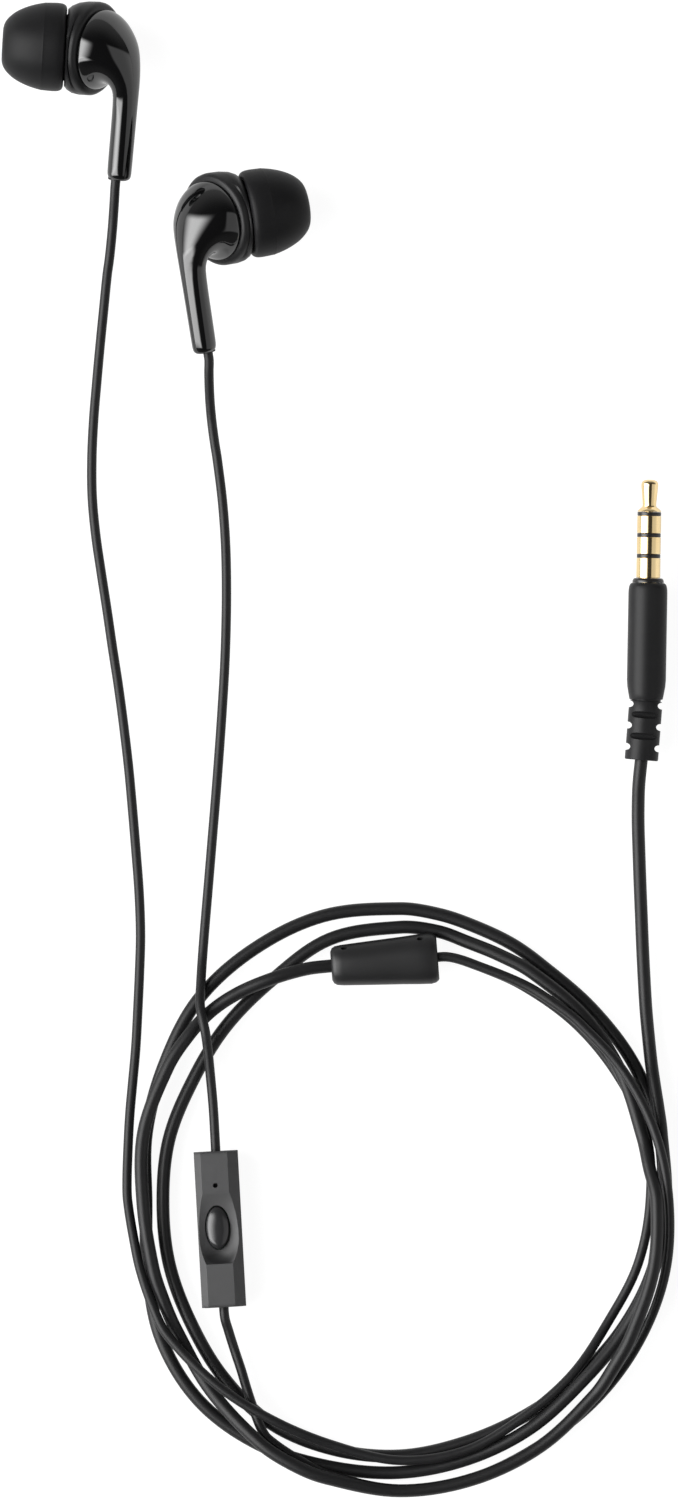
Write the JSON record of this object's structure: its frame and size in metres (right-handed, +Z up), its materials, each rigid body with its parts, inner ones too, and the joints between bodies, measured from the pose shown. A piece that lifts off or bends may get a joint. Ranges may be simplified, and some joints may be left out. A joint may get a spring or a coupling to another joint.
{
  "type": "wired earphones",
  "caption": "In-ear earphones with soft tips and swan-neck stems, thin leads, an in-line remote with a button and microphone, a splitter, a coiled cord and a straight plug.",
  "frame": {"origin": "on the surface the earphones lie on, below the middle of the two buds together", "axes": "+Z up from the surface, +Y from the coiled cord towards the buds, +X to the right as seen from above"},
  "size_m": [0.0972, 0.2164, 0.0133],
  "materials": {
    "silicone": "soft matt silicone with a low sheen",
    "satin_ring": "satin dark grey moulding",
    "steel_mesh": "fine woven mesh",
    "foam": "open-cell damping foam",
    "driver_frame": "plain moulding",
    "film": "thin formed film",
    "copper": "wound enamelled wire",
    "magnet_steel": "plated steel",
    "gloss_shell": "high gloss black",
    "cord_jacket": "satin elastomer jacket",
    "remote_body": "fine matt texture",
    "remote_button": "gloss black",
    "board": "solder mask",
    "splitter_body": "satin moulding",
    "gold": "polished gold plating",
    "insulator": "smooth black band",
    "plug_body": "satin overmoulding"
  },
  "bodies": {
    "earphones": {"left_front_shell": "satin_ring", "left_nozzle_mesh": "steel_mesh", "left_damper": "foam", "left_driver_frame": "driver_frame", "left_diaphragm": "film", "left_voice_coil": "copper", "left_magnet": "magnet_steel", "left_rear_shell": "gloss_shell", "left_grommet": "cord_jacket", "right_front_shell": "satin_ring", "right_nozzle_mesh": "steel_mesh", "right_damper": "foam", "right_driver_frame": "driver_frame", "right_diaphragm": "film", "right_voice_coil": "copper", "right_magnet": "magnet_steel", "right_rear_shell": "gloss_shell", "right_grommet": "cord_jacket", "remote_front": "remote_body", "remote_back": "remote_body", "remote_switch": "magnet_steel", "remote_board": "board", "microphone": "magnet_steel", "mic_gasket": "silicone", "splitter_top": "splitter_body", "splitter_bottom": "splitter_body", "splitter_crimp": "magnet_steel", "plug_tip": "gold", "plug_ring_1": "gold", "plug_ring_2": "gold", "plug_sleeve": "gold", "plug_insulator": "insulator", "plug_collar": "insulator", "plug_core": "driver_frame", "plug_barrel": "plug_body", "plug_relief": "plug_body", "left_lead": "cord_jacket", "left_lead_coil": "cord_jacket", "right_lead_upper": "cord_jacket", "right_lead_coil": "cord_jacket", "main_cord_coil": "cord_jacket", "main_cord_end": "cord_jacket"},
    "left_tip": {"left_ear_tip": "silicone"},
    "right_tip": {"right_ear_tip": "silicone"},
    "button": {"remote_button": "remote_button"}
  },
  "joints": [
    {"name": "left_tip_slide", "type": "slide", "parent": "earphones", "child": "left_tip", "axis": [-0.9983, 0.0576, 0], "range_m": [0, 0.007]},
    {"name": "right_tip_slide", "type": "slide", "parent": "earphones", "child": "right_tip", "axis": [0.9725, 0.1645, -0.165], "range_m": [0, 0.007]},
    {"name": "button_press", "type": "slide", "parent": "earphones", "child": "button", "axis": [0, 0, -1], "range_m": [0, 0.0003], "stiffness_N_per_m": 400, "springref_m": -0.0002}
  ]
}
